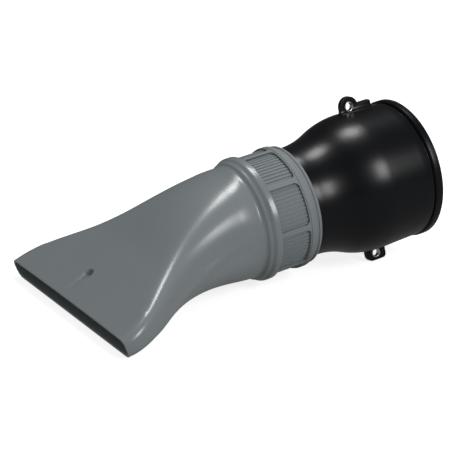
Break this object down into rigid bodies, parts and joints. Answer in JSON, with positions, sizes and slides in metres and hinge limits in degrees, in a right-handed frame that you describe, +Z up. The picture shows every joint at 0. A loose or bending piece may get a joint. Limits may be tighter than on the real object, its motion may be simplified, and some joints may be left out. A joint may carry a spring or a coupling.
{
  "type": "leaf blower nozzle tube",
  "caption": "Flat fan nozzle tube for a leaf blower: slanted slot mouth, ribbed grip collar and flared bell adapter with bushed lock ears.",
  "frame": {"origin": "centre of the bounding box's base, on the surface the part rests on", "axes": "+X along the tube from the mouth to the bell, +Z up from the surface it rests on; the tube's own axis rises towards the bell by the resting tilt"},
  "size_m": [0.2602, 0.1594, 0.1121],
  "materials": {
    "grey_plastic": "satin moulded grey plastic",
    "grey_collar_plastic": "satin moulded grey plastic with fine ribs",
    "black_plastic": "satin moulded black plastic",
    "zinc_steel": "zinc-plated turned steel"
  },
  "bodies": {
    "root": {"flat_nozzle": "grey_plastic", "grip_collar": "grey_collar_plastic", "blower_adapter": "black_plastic", "ear_bush_upper": "zinc_steel", "ear_bush_lower": "zinc_steel"}
  },
  "joints": []
}
